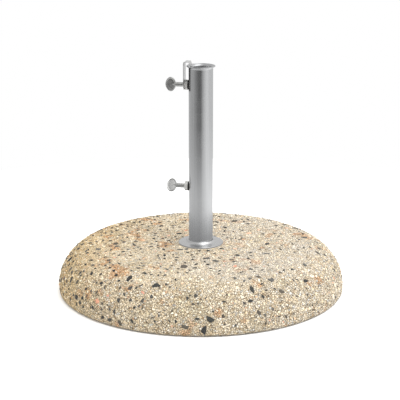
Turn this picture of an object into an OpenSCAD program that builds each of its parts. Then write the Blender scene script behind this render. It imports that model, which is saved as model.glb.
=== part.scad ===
// Parasol base: a heavy washed-concrete disc with a clamping standpipe.
// Millimetres, +Z up, origin on the floor under the standpipe's axis.
// Both clamping screws point along -X. Rest pose: screws backed out, rosette down.

/* [Concrete disc] */
// Diameter of the concrete disc
base_d = 600; // [560:5:700]
// Height of the concrete itself
base_h = 95; // [92:1:100]
// Radius of the rounded shoulder, top to side
shoulder_r = 84; // [40:1:86]
// Radius of the rounded bottom edge
bottom_edge_r = 5; // [2:0.5:6]
// Depth of the socket that the standpipe's foot stands in
socket_depth = 15; // [12:1:18]
// Gap all round the standpipe's foot in its socket
socket_gap = 0.5; // [0.3:0.1:0.8]
// Diameter of the recess under the disc for the bolt head
recess_d = 52; // [46:1:70]
// Depth of the recess under the disc
recess_depth = 22; // [20:1:24]

/* [Floor pads] */
// Number of rubber pads
pad_count = 4; // [3:1:8]
// Diameter of a pad
pad_d = 40; // [20:1:50]
// Radius of the circle that the pads stand on
pad_circle_r = 230; // [150:5:240]
// How far a pad stands out below the concrete
pad_proud = 2; // [1:0.5:4]
// How far a pad is let into the concrete
pad_sunk = 3; // [2:0.5:5]

/* [Standpipe] */
// Outside diameter of the pipe
pipe_d = 50; // [50:0.5:52]
// Wall thickness of the pipe
pipe_wall = 1.5; // [1.4:0.1:1.8]
// Height of the rim above the concrete
pipe_above = 376; // [330:2:500]
// How much the upper bore is opened out on radius for the clamp strip
relief_depth = 0.7; // [0.5:0.1:0.8]
// Length of the opened-out bore below the flare
relief_len = 71; // [66:1:90]
// Radius of the flared lip, on its outside
flare_r = 5.2; // [4:0.2:7]
// Angle through which the lip is rolled outward
flare_angle = 73; // [40:1:80]
// Thickness of the disc welded under the pipe
foot_t = 8; // [6:0.5:10]

/* [Rosette] */
// Outside diameter of the rosette
rosette_d = 93.6; // [84:0.2:110]
// Height of the rosette at the pipe
rosette_h = 8.5; // [7:0.1:12]
// Sheet thickness of the rosette
rosette_t = 1; // [0.8:0.1:1.5]
// Height of the upright lip round the rosette
rosette_lip = 1.4; // [1:0.1:2]
// Gap between the rosette and the pipe
rosette_gap = 0.3; // [0.2:0.1:0.8]

/* [Clamping screws] */
// Distance of the upper screw below the rim
upper_drop = 40; // [36:0.5:42]
// Distance of the lower screw below the rim
lower_drop = 254; // [180:1:260]
// Thread diameter of both screws
screw_d = 9.9; // [9.8:0.02:9.96]
// Width across the flats of the hexagon of the threaded insert
hex_flats = 18; // [17:0.5:19]
// Height of the hexagon
hex_h = 7.4; // [6:0.2:8]
// Distance of the hexagon's inner face from the pipe's axis
hex_inner_x = 26.6; // [26:0.1:28]
// Diameter of the shank that goes through the pipe's wall
shank_d = 13; // [12:0.5:14]
// Outside diameter of the black sealing ring
ring_d = 20; // [18:0.5:21]
// Distance of the paddle's middle from the pipe's axis
paddle_x = 63.3; // [60:0.1:66]
// Half width of the paddle along the screw
paddle_a = 11; // [9:0.5:12]
// Half width of the paddle across the screw
paddle_b = 14.8; // [13:0.2:16]
// Radius of the rounded ends of the paddle
paddle_end_r = 8; // [7:0.2:8.6]
// Thickness of the paddle
paddle_t = 4.6; // [3:0.2:6]
// How much further in the lower screw stands at rest
lower_ahead = 1; // [0:0.1:1]
// Angle that the lower paddle stands at, about its screw
lower_paddle_turn = -35; // [-45:5:45]
// Distance of the tip cap's face from the pipe's axis, backed out
cap_face_x = 24.5; // [24.5:0.1:25]
// Length of the tip cap
cap_len = 5; // [4:0.5:6]
// Diameter of the tip cap
cap_d = 8.2; // [7.6:0.1:8.8]

/* [Clamp strip] */
// Width of the strip
strip_w = 22; // [16:1:24]
// Thickness of the strip
strip_t = 0.8; // [0.6:0.1:0.8]
// Height of the strip's bridge above the rim
strip_rise = 8.2; // [6:0.2:12]
// Inside radius of the strip's two upper bends
strip_bend_r = 2.2; // [1.5:0.1:3]
// How far the inner leg stands off the bore, unloaded
strip_stand_off = 1.5; // [0.5:0.1:1.6]
// Diameter of the eye round the upper screw
strip_eye_d = 10.8; // [10.6:0.1:11.5]

/* [Centre bolt] */
// Thread diameter of the centre bolt
bolt_d = 12; // [10:1:12]
// Length of the bolt under its head
bolt_len = 70; // [60:1:70]
// Width across the flats of the bolt's head
bolt_flats = 19; // [17:1:19]
// Height of the bolt's head
bolt_head_h = 7.5; // [6:0.5:8]
// Diameter of the wide washer
washer_d = 37; // [30:1:44]
// Thickness of the wide washer
washer_t = 3; // [2:0.5:3]
// Thickness of the spring washer
spring_t = 2.5; // [2:0.1:2.5]

/* [Hidden] */
$fn = 128;
eps = 0.01;
base_r = base_d / 2;
base_z0 = pad_proud;
base_z1 = pad_proud + base_h;
socket_z = base_z1 - socket_depth;
pipe_r = pipe_d / 2;
bore_r = pipe_r - pipe_wall;
relief_r = bore_r + relief_depth;
lip_t = pipe_r - relief_r;
rim_z = base_z1 + pipe_above;
flare_z = rim_z - (flare_r + lip_t) * sin(flare_angle);
pipe_z0 = socket_z + foot_t;
relief_z = flare_z - relief_len;
upper_z = rim_z - upper_drop;
lower_z = rim_z - lower_drop;
screw_r = screw_d / 2;
insert_bore_r = screw_r + 0.07;
shank_r = shank_d / 2;
hex_outer_x = hex_inner_x + hex_h;
hex_corner_r = hex_flats / 2 / cos(30);
spigot_r = 2.5;
spigot_len = 3;
washer_z = base_z0 + recess_depth - washer_t;
spring_z = washer_z - spring_t;
bolt_hole_r = bolt_d / 2 + 1;
strip_top_z = rim_z + strip_rise;
strip_out_r = bore_r + relief_depth - 0.05;
strip_in_r = strip_out_r - strip_t;
strip_z0 = relief_z + 2;
bend_out_r = strip_bend_r + strip_t;
bend_z = strip_top_z - bend_out_r;
outer_leg_x = hex_outer_x + 0.1;

// Sub-part to draw: all of them, or one by name

// A cylinder lying along X, from x0 to x1.
module rod_x(x0, x1, r0, r1) {
    translate([x0, 0, 0])
        rotate([0, 90, 0])
            cylinder(h = x1 - x0, r1 = r0, r2 = r1);
}

// ---- concrete disc -------------------------------------------------------

// Half section of the disc: rounded shoulder, upright side, small bottom edge.
module disc_profile() {
    shoulder_x = base_r - shoulder_r;
    shoulder_z = base_z1 - shoulder_r;
    edge_x = base_r - bottom_edge_r;
    edge_z = base_z0 + bottom_edge_r;
    translate([0, base_z0])
        square([shoulder_x, base_h]);
    intersection() {
        translate([shoulder_x, shoulder_z])
            circle(r = shoulder_r);
        translate([shoulder_x - 1, shoulder_z])
            square([shoulder_r + 2, shoulder_r + 1]);
    }
    translate([0, edge_z])
        square([base_r, shoulder_z - edge_z]);
    translate([0, base_z0])
        square([edge_x, bottom_edge_r + eps]);
    translate([edge_x, edge_z])
        circle(r = bottom_edge_r);
}

// Places its child at every pad.
module at_pads() {
    for (i = [0 : pad_count - 1])
        rotate([0, 0, 45 + i * 360 / pad_count])
            translate([pad_circle_r, 0, 0])
                children();
}

module concrete_base() {
    color([0.80, 0.74, 0.63])
        difference() {
            rotate_extrude()
                disc_profile();
            translate([0, 0, socket_z])
                cylinder(h = socket_depth + 1, r = pipe_r + socket_gap);
            translate([0, 0, base_z0 - 1])
                cylinder(h = base_h, r = bolt_hole_r);
            translate([0, 0, base_z0 - 1])
                cylinder(h = recess_depth + 1, r = recess_d / 2);
            at_pads()
                translate([0, 0, base_z0 - 1])
                    cylinder(h = pad_sunk + 1, r = pad_d / 2 + 0.2);
        }
}

module floor_pads() {
    color([0.10, 0.10, 0.10])
        at_pads()
            cylinder(h = pad_proud + pad_sunk, r = pad_d / 2);
}

// ---- fixing under the standpipe --------------------------------------------

module centre_bolt() {
    color([0.62, 0.62, 0.60]) {
        translate([0, 0, spring_z])
            cylinder(h = bolt_len, r = bolt_d / 2);
        translate([0, 0, spring_z - bolt_head_h])
            cylinder(h = bolt_head_h, r = bolt_flats / 2 / cos(30), $fn = 6);
    }
}

// A flat washer with its bore on the axis.
module flat_washer(outer_r, bore_r, t) {
    difference() {
        cylinder(h = t, r = outer_r);
        translate([0, 0, -1])
            cylinder(h = t + 2, r = bore_r);
    }
}

// The split ring keeps a narrow slot through one side.
module spring_washer() {
    slot_w = 1.6;
    color([0.55, 0.55, 0.55])
        translate([0, 0, spring_z])
            difference() {
                flat_washer(bolt_d / 2 + 4.2, bolt_d / 2 + 0.2, spring_t);
                translate([0, -slot_w / 2, -1])
                    cube([bolt_d, slot_w, spring_t + 2]);
            }
}

module wide_washer() {
    color([0.62, 0.62, 0.60])
        translate([0, 0, washer_z])
            flat_washer(washer_d / 2, bolt_d / 2 + 0.5, washer_t);
}

module foot_plate() {
    color([0.66, 0.67, 0.68])
        translate([0, 0, socket_z])
            flat_washer(pipe_r, bolt_d / 2 + 0.05, foot_t);
}

// ---- standpipe ---------------------------------------------------------------

// Half section of the rolled lip, which starts upright and turns outward.
module lip_profile() {
    reach = 4 * flare_r;
    end_angle = 180 - flare_angle;
    translate([pipe_r + flare_r, flare_z])
        intersection() {
            difference() {
                circle(r = flare_r + lip_t);
                circle(r = flare_r);
            }
            polygon([
                [0, 0],
                [-reach, 0],
                [-reach, reach],
                [reach * cos(end_angle), reach * sin(end_angle)]
            ]);
        }
}

// Half section of the pipe: lower bore, opened-out upper bore, rolled lip.
module pipe_profile() {
    translate([bore_r, pipe_z0])
        square([pipe_wall, relief_z - pipe_z0]);
    translate([relief_r, relief_z - eps])
        square([lip_t, flare_z - relief_z + eps]);
    lip_profile();
}

module stand_pipe() {
    hole_r = shank_r + 0.1;
    color([0.70, 0.71, 0.72])
        difference() {
            rotate_extrude()
                pipe_profile();
            for (z = [upper_z, lower_z])
                translate([0, 0, z])
                    rod_x(-pipe_r - 1, -bore_r + 3, hole_r, hole_r);
        }
}

// ---- rosette -------------------------------------------------------------------

// Radius of the sphere through the rosette's collar and the top of its lip.
rosette_r = rosette_d / 2;
rosette_bore_r = pipe_r + rosette_gap;
dome_edge_r = rosette_r - 0.6;
dome_fall = rosette_h - rosette_lip;
dome_drop_sq = dome_edge_r * dome_edge_r - rosette_bore_r * rosette_bore_r;
dome_to_top = (dome_drop_sq + dome_fall * dome_fall) / (2 * dome_fall);
dome_r = sqrt(rosette_bore_r * rosette_bore_r + dome_to_top * dome_to_top);

// Half section of the pressed sheet: upright lip and domed web.
module rosette_profile() {
    translate([rosette_r - rosette_t, 0])
        square([rosette_t, rosette_lip]);
    intersection() {
        translate([0, rosette_h - dome_to_top])
            difference() {
                circle(r = dome_r, $fn = 360);
                circle(r = dome_r - rosette_t, $fn = 360);
            }
        translate([rosette_bore_r, rosette_lip - rosette_t])
            square([rosette_r - rosette_bore_r - 0.2, rosette_h]);
    }
}

module cover_rosette() {
    color([0.74, 0.75, 0.76])
        translate([0, 0, base_z1])
            rotate_extrude()
                rosette_profile();
}

// ---- threaded inserts and sealing rings ----------------------------------------

// A hexagon with a chamfered outer face and a shank through the pipe's wall.
module threaded_insert(shank_end_x) {
    chamfer = 1.2;
    color([0.72, 0.72, 0.70])
        difference() {
            union() {
                rod_x(-hex_inner_x - eps, -shank_end_x, shank_r, shank_r);
                intersection() {
                    translate([-hex_outer_x, 0, 0])
                        rotate([0, 90, 0])
                            cylinder(h = hex_h, r = hex_corner_r, $fn = 6);
                    rod_x(
                        -hex_outer_x,
                        -hex_inner_x + 1,
                        hex_flats / 2 - 0.2,
                        hex_flats / 2 - 0.2 + (hex_h + 1) * 1.4
                    );
                }
            }
            rod_x(
                -hex_outer_x - 1,
                -shank_end_x + 1,
                insert_bore_r,
                insert_bore_r
            );
            rod_x(
                -hex_outer_x - eps,
                -hex_outer_x + chamfer,
                insert_bore_r + chamfer / 2,
                insert_bore_r
            );
        }
}

module upper_insert() {
    translate([0, 0, upper_z])
        threaded_insert(relief_r + 0.1);
}

module lower_insert() {
    translate([0, 0, lower_z])
        threaded_insert(bore_r + 0.1);
}

// A ring whose inner side is hollowed to sit on the round pipe.
module seal_ring() {
    color([0.05, 0.05, 0.05])
        difference() {
            rod_x(-hex_inner_x, -bore_r + 3, ring_d / 2, ring_d / 2);
            translate([0, 0, -ring_d])
                cylinder(h = 2 * ring_d, r = pipe_r + 0.02);
            rod_x(-hex_inner_x - 1, 0, shank_r + 0.1, shank_r + 0.1);
        }
}

module upper_seal_ring() {
    translate([0, 0, upper_z])
        seal_ring();
}

module lower_seal_ring() {
    translate([0, 0, lower_z])
        seal_ring();
}

// ---- clamping screws ------------------------------------------------------------

// Oval of four arcs, half widths paddle_a and paddle_b.
module paddle_outline() {
    end_c = paddle_b - paddle_end_r;
    slack = paddle_a - paddle_end_r;
    side_c = (end_c * end_c - slack * slack) / (2 * slack);
    side_r = side_c + paddle_a;
    join_y = side_r * end_c / (side_r - paddle_end_r);
    intersection() {
        translate([side_c, 0])
            circle(r = side_r);
        translate([-side_c, 0])
            circle(r = side_r);
        translate([-paddle_a, -join_y])
            square([2 * paddle_a, 2 * join_y]);
    }
    translate([0, end_c])
        circle(r = paddle_end_r);
    translate([0, -end_c])
        circle(r = paddle_end_r);
}

// Screw with its tip cap's face at cap_face_x: shaft, spigot, neck and paddle.
module paddle_screw(turn) {
    shaft_end_x = cap_face_x + cap_len;
    neck_x = paddle_x - paddle_a + 1;
    color([0.70, 0.70, 0.69])
        rotate([turn, 0, 0])
            union() {
                rod_x(-neck_x, -shaft_end_x, screw_r, screw_r);
                rod_x(
                    -shaft_end_x - eps,
                    -shaft_end_x + spigot_len - 0.1,
                    spigot_r,
                    spigot_r
                );
                rod_x(-paddle_x - 2, -neck_x + eps, paddle_t / 2, screw_r);
                translate([-paddle_x, 0, 0])
                    rotate([90, 0, 0])
                        translate([0, 0, -paddle_t / 2])
                            linear_extrude(height = paddle_t)
                                paddle_outline();
            }
}

module upper_screw() {
    translate([0, 0, upper_z])
        paddle_screw(0);
}

module lower_screw() {
    translate([lower_ahead, 0, lower_z])
        paddle_screw(lower_paddle_turn);
}

// Plastic cap that stays still while the screw turns in it.
module tip_cap() {
    color([0.12, 0.12, 0.12])
        difference() {
            rod_x(-cap_face_x - cap_len + 0.05, -cap_face_x, cap_d / 2, cap_d / 2);
            rod_x(
                -cap_face_x - cap_len - 1,
                -cap_face_x - cap_len + spigot_len,
                spigot_r + 0.05,
                spigot_r + 0.05
            );
        }
}

module upper_tip_cap() {
    translate([0, 0, upper_z])
        tip_cap();
}

module lower_tip_cap() {
    translate([lower_ahead, 0, lower_z])
        tip_cap();
}

// ---- clamp strip -------------------------------------------------------------------

// A box that keeps the strip's width, on the screws' side.
module strip_band(x0, x1, z0, z1) {
    translate([x0, -strip_w / 2, z0])
        cube([x1 - x0, strip_w, z1 - z0]);
}

// Half section of a quarter bend, from upright to level.
module bend_profile() {
    intersection() {
        difference() {
            circle(r = bend_out_r);
            circle(r = strip_bend_r);
        }
        translate([-bend_out_r - 1, 0])
            square([bend_out_r + 1, bend_out_r + 1]);
    }
}

// Inner leg and its bend, curved in plan to suit the bore.
module strip_inner_leg() {
    bend_c = strip_out_r + strip_bend_r;
    intersection() {
        union() {
            translate([0, 0, strip_z0])
                difference() {
                    cylinder(h = bend_z - strip_z0 + eps, r = strip_out_r);
                    translate([0, 0, -1])
                        cylinder(h = bend_z - strip_z0 + 2, r = strip_in_r);
                }
            translate([0, 0, bend_z])
                rotate_extrude()
                    translate([bend_c, 0])
                        bend_profile();
        }
        strip_band(-pipe_d, 0, strip_z0 - 1, strip_top_z + 1);
    }
}

// Level bridge over the rim, between the two bends.
module strip_bridge(outer_bend_x) {
    difference() {
        strip_band(
            outer_bend_x - eps,
            0,
            strip_top_z - strip_t,
            strip_top_z
        );
        translate([strip_stand_off, 0, rim_z])
            cylinder(h = 2 * strip_rise, r = strip_out_r + strip_bend_r - eps);
    }
}

// Flat outer leg that ends in a round eye on the upper insert.
module strip_outer_leg(outer_bend_x) {
    translate([outer_bend_x, strip_w / 2, bend_z])
        rotate([90, 0, 0])
            linear_extrude(height = strip_w)
                bend_profile();
    difference() {
        union() {
            strip_band(
                -outer_leg_x - strip_t,
                -outer_leg_x,
                upper_z,
                bend_z + eps
            );
            translate([0, 0, upper_z])
                rod_x(
                    -outer_leg_x - strip_t,
                    -outer_leg_x,
                    strip_w / 2,
                    strip_w / 2
                );
        }
        translate([0, 0, upper_z])
            rod_x(
                -outer_leg_x - 2,
                -outer_leg_x + 1,
                strip_eye_d / 2,
                strip_eye_d / 2
            );
    }
}

module clamp_strip() {
    outer_bend_x = -outer_leg_x + strip_bend_r;
    color([0.80, 0.80, 0.80])
        union() {
            translate([strip_stand_off, 0, 0])
                strip_inner_leg();
            strip_bridge(outer_bend_x);
            strip_outer_leg(outer_bend_x);
        }
}

concrete_base();
floor_pads();
centre_bolt();
spring_washer();
wide_washer();
foot_plate();
stand_pipe();
cover_rosette();
upper_insert();
lower_insert();
upper_seal_ring();
lower_seal_ring();
upper_screw();
lower_screw();
upper_tip_cap();
lower_tip_cap();
clamp_strip();
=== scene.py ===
"""Parasol base: a washed-concrete disc with a clamping standpipe.

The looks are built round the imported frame. Lengths are in metres, +Z is up, and places come
from the frame's own boxes. Shapes that a box can't give are named values in millimetres times MM.
"""

import math
from itertools import product

import bmesh
import bpy
import numpy as np
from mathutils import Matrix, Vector


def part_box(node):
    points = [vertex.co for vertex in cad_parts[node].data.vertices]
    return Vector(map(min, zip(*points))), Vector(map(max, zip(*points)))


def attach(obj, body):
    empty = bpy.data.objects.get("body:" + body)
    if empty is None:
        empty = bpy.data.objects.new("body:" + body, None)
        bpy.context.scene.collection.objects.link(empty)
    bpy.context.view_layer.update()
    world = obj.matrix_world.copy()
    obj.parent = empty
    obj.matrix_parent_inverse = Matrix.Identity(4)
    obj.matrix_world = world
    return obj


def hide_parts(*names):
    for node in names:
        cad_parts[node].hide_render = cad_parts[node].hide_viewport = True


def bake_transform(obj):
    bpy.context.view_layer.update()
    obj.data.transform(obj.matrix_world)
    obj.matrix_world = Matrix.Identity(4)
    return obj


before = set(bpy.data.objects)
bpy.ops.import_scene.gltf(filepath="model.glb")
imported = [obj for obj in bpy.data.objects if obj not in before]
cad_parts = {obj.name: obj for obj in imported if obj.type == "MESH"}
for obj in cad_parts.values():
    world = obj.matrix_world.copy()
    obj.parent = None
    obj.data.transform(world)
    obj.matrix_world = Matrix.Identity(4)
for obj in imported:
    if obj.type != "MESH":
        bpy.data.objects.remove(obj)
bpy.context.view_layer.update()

MM = 0.001
SEED = 41
TAU = 2 * math.pi

# ---- places, from the frame ----

BASE_LO, BASE_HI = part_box("concrete_base")
BASE_R = BASE_HI.x
BASE_Z0 = BASE_LO.z
BASE_Z1 = BASE_HI.z
FOOT_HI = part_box("foot_plate")[1]
PIPE_R = FOOT_HI.x
RIM_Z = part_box("stand_pipe")[1].z
PIPE_Z0 = FOOT_HI.z
ROSETTE_LO, ROSETTE_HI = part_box("cover_rosette")


def mid_z(node):
    lo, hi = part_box(node)
    return (lo.z + hi.z) / 2


UPPER_Z = mid_z("upper_insert")
LOWER_Z = mid_z("lower_insert")

# ---- shapes that the boxes don't give ----

SHOULDER_R = 84 * MM
FLAT_R = BASE_R - SHOULDER_R
SHOULDER_Z = BASE_Z1 - SHOULDER_R
BOTTOM_EDGE_R = 5 * MM
SOCKET_R = 25.5 * MM
SOCKET_DEPTH = 15 * MM
RECESS_R = 26 * MM
RECESS_DEPTH = 22 * MM
BOLT_HOLE_R = 7 * MM
SURFACE_STEP = 2.25 * MM
SEAT_FADE = 12 * MM
GRAIN_SIZE = 6.2 * MM
LUMP_SIZE = 13 * MM
RIPPLE_SIZE = 17 * MM
SWELL_SIZE = 55 * MM

BORE_R = 23.5 * MM
RELIEF_R = 24.2 * MM
RELIEF_Z = 396.26 * MM
FLARE_Z = 467.26 * MM
FLARE_R = 5.2 * MM
FLARE_ANGLE = math.radians(73)
LIP_BEAD_R = 1.1 * MM
SHANK_HOLE_R = 6.6 * MM

SCREW_R = 4.95 * MM
SCREW_PITCH = 1.5 * MM
THREAD_DEPTH = 0.75 * MM
SPIGOT_R = 2.5 * MM
PADDLE_X = 63.3 * MM
PADDLE_END_R = 8 * MM
PADDLE_A = 11 * MM
PADDLE_B = 14.8 * MM
PADDLE_T = 4.6 * MM

STRIP_W = 22 * MM
STRIP_T = 0.8 * MM
STRIP_EYE_R = 5.4 * MM


# ---- meshes ----


def smooth(mesh, angle):
    """Smooth shading where neighbouring faces meet at less than angle."""
    mesh.polygons.foreach_set("use_smooth", [True] * len(mesh.polygons))
    mesh.set_sharp_from_angle(angle=math.radians(angle))


def placed(name, data, place=(0, 0, 0), way=None):
    """A new object in the scene; a camera or lamp looks along way."""
    obj = bpy.data.objects.new(name, data)
    obj.location = place
    if way:
        obj.rotation_mode = "QUATERNION"
        obj.rotation_quaternion = way.to_track_quat("-Z", "Y")
    bpy.context.scene.collection.objects.link(obj)
    return obj


def mesh_object(name, verts, faces, smooth_angle=35):
    """A new object, shaded as smooth says."""
    mesh = bpy.data.meshes.new(name)
    mesh.from_pydata([tuple(v) for v in verts], [], faces)
    mesh.validate()
    mesh.update()
    smooth(mesh, smooth_angle)
    return placed(name, mesh)


def with_modifiers_applied(obj, smooth_angle=35):
    """Bakes the object's modifiers into its mesh."""
    bpy.context.view_layer.update()
    graph = bpy.context.evaluated_depsgraph_get()
    mesh = bpy.data.meshes.new_from_object(obj.evaluated_get(graph))
    obj.modifiers.clear()
    obj.data = mesh
    smooth(mesh, smooth_angle)
    return obj


def paint(obj, material):
    """Gives an object one material."""
    obj.data.materials.clear()
    obj.data.materials.append(material)


def limited(t):
    """t kept within 0..1."""
    return min(1, max(0, t))


def eased(t):
    """t of 0..1, levelled off at both ends."""
    return t * t * (3 - 2 * t)


def arc(cx, cy, r, start, end, steps):
    """Points of an arc, angles in degrees."""
    angles = np.radians(np.linspace(start, end, steps + 1))
    return [(cx + r * math.cos(a), cy + r * math.sin(a)) for a in angles]


def line(p, q, steps):
    """Points from p to q, without q."""
    return [tuple(p[k] + (q[k] - p[k]) * i / steps for k in (0, 1)) for i in range(steps)]


def turns(count):
    """Cosine and sine of count even steps round a circle."""
    angles = [TAU * i / count for i in range(count)]
    return [(math.cos(a), math.sin(a)) for a in angles]


def revolve(outline, segments):
    """A closed (radius, height) outline turned about Z."""
    count = len(outline)
    verts = [(r * c, r * s, z) for c, s in turns(segments) for r, z in outline]
    faces = []
    for i in range(segments):
        j = (i + 1) % segments
        for k in range(count):
            m = (k + 1) % count
            faces.append((i * count + k, j * count + k, j * count + m, i * count + m))
    return verts, faces


def lathe_x(outline, segments):
    """An open (radius, x) outline that starts and ends on the axis, turned about X."""
    inner = outline[1:-1]
    count = len(inner)
    verts = [(outline[0][1], 0, 0), (outline[-1][1], 0, 0)]
    verts += [(x, r * c, r * s) for c, s in turns(segments) for r, x in inner]
    faces = []
    for i in range(segments):
        j = (i + 1) % segments
        a, b = 2 + i * count, 2 + j * count
        faces.append((0, b, a))
        faces.append((1, a + count - 1, b + count - 1))
        faces += [(a + k, b + k, b + k + 1, a + k + 1) for k in range(count - 1)]
    return verts, faces


def ring_points(r, z, count):
    """A level ring of vertices about Z."""
    return [(r * c, r * s, z) for c, s in turns(count)]


def ring_faces(rings, count, turned=False):
    """Quads between rings of count vertices each; turned has them face the other way."""
    faces = []
    for i in range(rings - 1):
        for j in range(count):
            k = (j + 1) % count
            a, b, c, d = i * count + j, (i + 1) * count + j, (i + 1) * count + k, i * count + k
            faces.append((a, d, c, b) if turned else (a, b, c, d))
    return faces


def end_fans(rings, count, low, high, turned=False):
    """Triangles that close the first ring with vertex low and the last one with vertex high."""
    last = (rings - 1) * count
    faces = []
    for j in range(count):
        k = (j + 1) % count
        faces.append((low, k, j) if turned else (low, j, k))
        faces.append((high, last + j, last + k) if turned else (high, last + k, last + j))
    return faces


def join(*shells):
    """Several (verts, faces) shells as one."""
    verts, faces = [], []
    for v, f in shells:
        start = len(verts)
        verts += [tuple(p) for p in v]
        faces += [tuple(i + start for i in face) for face in f]
    return verts, faces


def moved(shell, offset=(0, 0, 0), turn_x=0.0):
    """A shell turned about X and then moved."""
    c, s = math.cos(turn_x), math.sin(turn_x)
    verts = [
        (x + offset[0], y * c - z * s + offset[1], y * s + z * c + offset[2])
        for x, y, z in shell[0]
    ]
    return verts, shell[1]


# ---- noise ----


def hashed(grid, seed):
    """Four random values 0..1 for each row of whole-number cell coordinates."""
    k = grid[:, 0] * 73856093 ^ grid[:, 1] * 19349663 ^ grid[:, 2] * 83492791
    k = (k ^ seed * 2654435761).astype(np.uint64)
    values = []
    for _ in range(4):
        k = (k ^ (k >> np.uint64(33))) * np.uint64(0xFF51AFD7ED558CCD)
        k = (k ^ (k >> np.uint64(29))) * np.uint64(0xC4CEB9FE1A85EC53)
        k = k ^ (k >> np.uint64(32))
        values.append((k >> np.uint64(11)).astype(np.float64) / float(1 << 53))
    return values


def cells(points, size, seed):
    """Nearest and second nearest site of one jittered site a cell, and the nearest one's value."""
    p = points / size
    base = np.floor(p).astype(np.int64)
    first = np.full(len(p), 9.0)
    second = np.full(len(p), 9.0)
    value = np.zeros(len(p))
    for offset in product((-1, 0, 1), repeat=3):
        cell = base + np.array(offset)
        hx, hy, hz, hv = hashed(cell, seed)
        d = np.linalg.norm(cell + np.stack([hx, hy, hz], 1) - p, axis=1)
        nearer = d < first
        second = np.where(nearer, first, np.minimum(second, d))
        value = np.where(nearer, hv, value)
        first = np.where(nearer, d, first)
    return first, second, value


def smooth_noise(points, size, seed):
    """Smooth noise, about -1..1."""
    p = points / size
    base = np.floor(p).astype(np.int64)
    f = eased(p - base)
    total = np.zeros(len(p))
    for offset in product((0, 1), repeat=3):
        o = np.array(offset)
        weight = np.prod(np.where(o == 1, f, 1 - f), axis=1)
        total += weight * hashed(base + o, seed)[3]
    return 2 * total - 1


# ---- shader helper ----


class Nodes:
    """Short ways of adding shader nodes to an empty tree."""

    def __init__(self, tree):
        self.tree = tree
        tree.nodes.clear()

    def node(self, kind, inputs=None, **settings):
        made = self.tree.nodes.new("ShaderNode" + kind)
        for key, value in settings.items():
            setattr(made, key, value)
        for key, value in (inputs or {}).items():
            if isinstance(value, bpy.types.NodeSocket):
                self.tree.links.new(value, made.inputs[key])
            else:
                made.inputs[key].default_value = value
        return made

    def math(self, operation, a, b=0.0):
        return self.node("Math", {0: a, 1: b}, operation=operation).outputs[0]

    def spread(self, socket, low, high, to_low=0.0, to_high=1.0, smooth=False):
        limits = {"From Min": low, "From Max": high, "To Min": to_low, "To Max": to_high}
        kind = "SMOOTHSTEP" if smooth else "LINEAR"
        return self.node("MapRange", {"Value": socket, **limits}, interpolation_type=kind).outputs[0]

    def ramp(self, socket, stops, constant=False):
        made = self.node("ValToRGB", {"Fac": socket})
        ramp = made.color_ramp
        ramp.interpolation = "CONSTANT" if constant else "LINEAR"
        while len(ramp.elements) < len(stops):
            ramp.elements.new(0.5)
        for element, (place, colour) in zip(ramp.elements, stops):
            element.position = place
            element.color = (*colour, 1)
        return made.outputs["Color"]

    def mix(self, factor, a, b, blend="MIX"):
        made = self.node("Mix", data_type="RGBA", blend_type=blend)
        for index, value in ((0, factor), (6, a), (7, b)):
            if isinstance(value, bpy.types.NodeSocket):
                self.tree.links.new(value, made.inputs[index])
            elif index == 0:
                made.inputs[index].default_value = value
            else:
                made.inputs[index].default_value = (*value, 1)
        return made.outputs[2]


class Material(Nodes):
    """The nodes of a new material."""

    def __init__(self, name):
        self.mat = bpy.data.materials.new(name)
        self.mat.use_nodes = True
        super().__init__(self.mat.node_tree)


class Look(Material):
    """One material with a principled surface, and its textures."""

    def __init__(self, name, **surface):
        super().__init__(name)
        self.surface = self.node("BsdfPrincipled")
        self.node("OutputMaterial", {"Surface": self.surface.outputs["BSDF"]})
        for key, value in surface.items():
            self.surface.inputs[key.replace("_", " ")].default_value = value
        self.coords = self.node("TexCoord").outputs["Object"]

    def to_surface(self, socket, name):
        self.tree.links.new(socket, self.surface.inputs[name])

    def scaled(self, xyz):
        return self.node("Mapping", {"Vector": self.coords, "Scale": xyz}).outputs["Vector"]

    def noise(self, scale, vector=None, detail=2.0, roughness=0.5):
        inputs = {"Scale": scale, "Detail": detail, "Roughness": roughness}
        return self.node("TexNoise", {"Vector": vector or self.coords, **inputs}).outputs["Fac"]

    def cells(self, scale, vector=None, feature="F1"):
        inputs = {"Vector": vector or self.coords, "Scale": scale}
        return self.node("TexVoronoi", inputs, feature=feature)

    def channel(self, colour, index):
        return self.node("SeparateColor", {"Color": colour}).outputs[index]

    def grey(self, value):
        return self.node("CombineColor", {0: value, 1: value, 2: value}).outputs[0]

    def times(self, colour, other):
        return self.mix(1.0, colour, other, "MULTIPLY")

    def toned(self, colour, tone):
        """A colour made darker or lighter by a grey tone."""
        return self.times(colour, self.grey(tone))

    def bump(self, height, distance, strength=1.0):
        inputs = {"Height": height, "Distance": distance, "Strength": strength}
        self.to_surface(self.node("Bump", inputs).outputs["Normal"], "Normal")


def srgb(r, g, b):
    """Linear colour of an sRGB colour given as 0..255."""
    return tuple(
        c / 12.92 if c <= 0.04045 else ((c + 0.055) / 1.055) ** 2.4
        for c in (r / 255, g / 255, b / 255)
    )


# ---- materials: stone ----

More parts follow.
